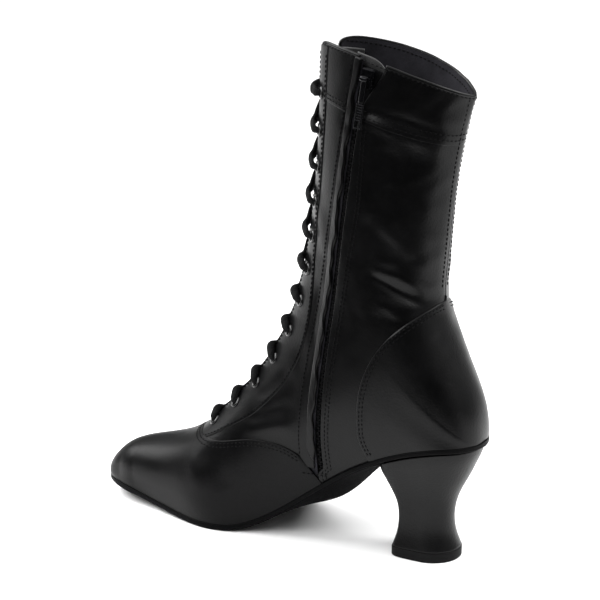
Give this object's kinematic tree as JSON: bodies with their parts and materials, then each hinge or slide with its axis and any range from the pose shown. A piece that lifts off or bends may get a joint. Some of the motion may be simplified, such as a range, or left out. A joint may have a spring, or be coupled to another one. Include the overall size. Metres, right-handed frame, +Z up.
{
  "type": "dance boot",
  "caption": "Black leather lace-up dance boot for the right foot, with a pointed toe, a side zip with a swinging pull tab, an ankle-high shaft and a flared heel.",
  "frame": {"origin": "on the floor, under the middle of the boot's bounding box", "axes": "+Z up, toe towards -X, heel towards +X, medial (zip) side towards -Y"},
  "size_m": [0.2376, 0.0784, 0.274],
  "materials": {
    "black_leather": "smooth, soft sheen",
    "tongue_leather": "matt",
    "insole_leather": "matt",
    "suede_sole": "suede",
    "heel_leather": "smooth, soft sheen",
    "lift_rubber": "matt",
    "black_lacquer": "gloss",
    "zip_tape": "woven",
    "zip_metal": "dark gloss",
    "lace": "woven"
  },
  "bodies": {
    "boot": {"eyelet_lateral_01": "black_lacquer", "eyelet_lateral_02": "black_lacquer", "eyelet_lateral_03": "black_lacquer", "eyelet_lateral_04": "black_lacquer", "eyelet_lateral_05": "black_lacquer", "eyelet_lateral_06": "black_lacquer", "eyelet_lateral_07": "black_lacquer", "eyelet_lateral_08": "black_lacquer", "eyelet_lateral_09": "black_lacquer", "eyelet_lateral_10": "black_lacquer", "eyelet_lateral_11": "black_lacquer", "eyelet_lateral_12": "black_lacquer", "eyelet_medial_01": "black_lacquer", "eyelet_medial_02": "black_lacquer", "eyelet_medial_03": "black_lacquer", "eyelet_medial_04": "black_lacquer", "eyelet_medial_05": "black_lacquer", "eyelet_medial_06": "black_lacquer", "eyelet_medial_07": "black_lacquer", "eyelet_medial_08": "black_lacquer", "eyelet_medial_09": "black_lacquer", "eyelet_medial_10": "black_lacquer", "eyelet_medial_11": "black_lacquer", "eyelet_medial_12": "black_lacquer", "heel": "heel_leather", "heel_top_lift": "lift_rubber", "insole": "insole_leather", "lace_bar": "lace", "lace_cross_01": "lace", "lace_cross_02": "lace", "lace_cross_03": "lace", "lace_cross_04": "lace", "lace_cross_05": "lace", "lace_cross_06": "lace", "lace_cross_07": "lace", "lace_cross_08": "lace", "lace_cross_09": "lace", "lace_cross_10": "lace", "lace_cross_11": "lace", "lace_top": "lace", "outsole": "suede_sole", "tongue": "tongue_leather", "upper": "black_leather", "zip_chain": "zip_metal", "zip_guard": "black_leather", "zip_slider": "zip_metal", "zip_tape_back": "zip_tape", "zip_tape_front": "zip_tape"},
    "pull": {"zip_pull": "zip_metal"}
  },
  "joints": [
    {"name": "pull_swing", "type": "hinge", "parent": "boot", "child": "pull", "pos_m": [0.06168, -0.03583, 0.25703], "axis": [-0.9833, 0.0434, 0.1768], "range_deg": [0, 160]}
  ]
}
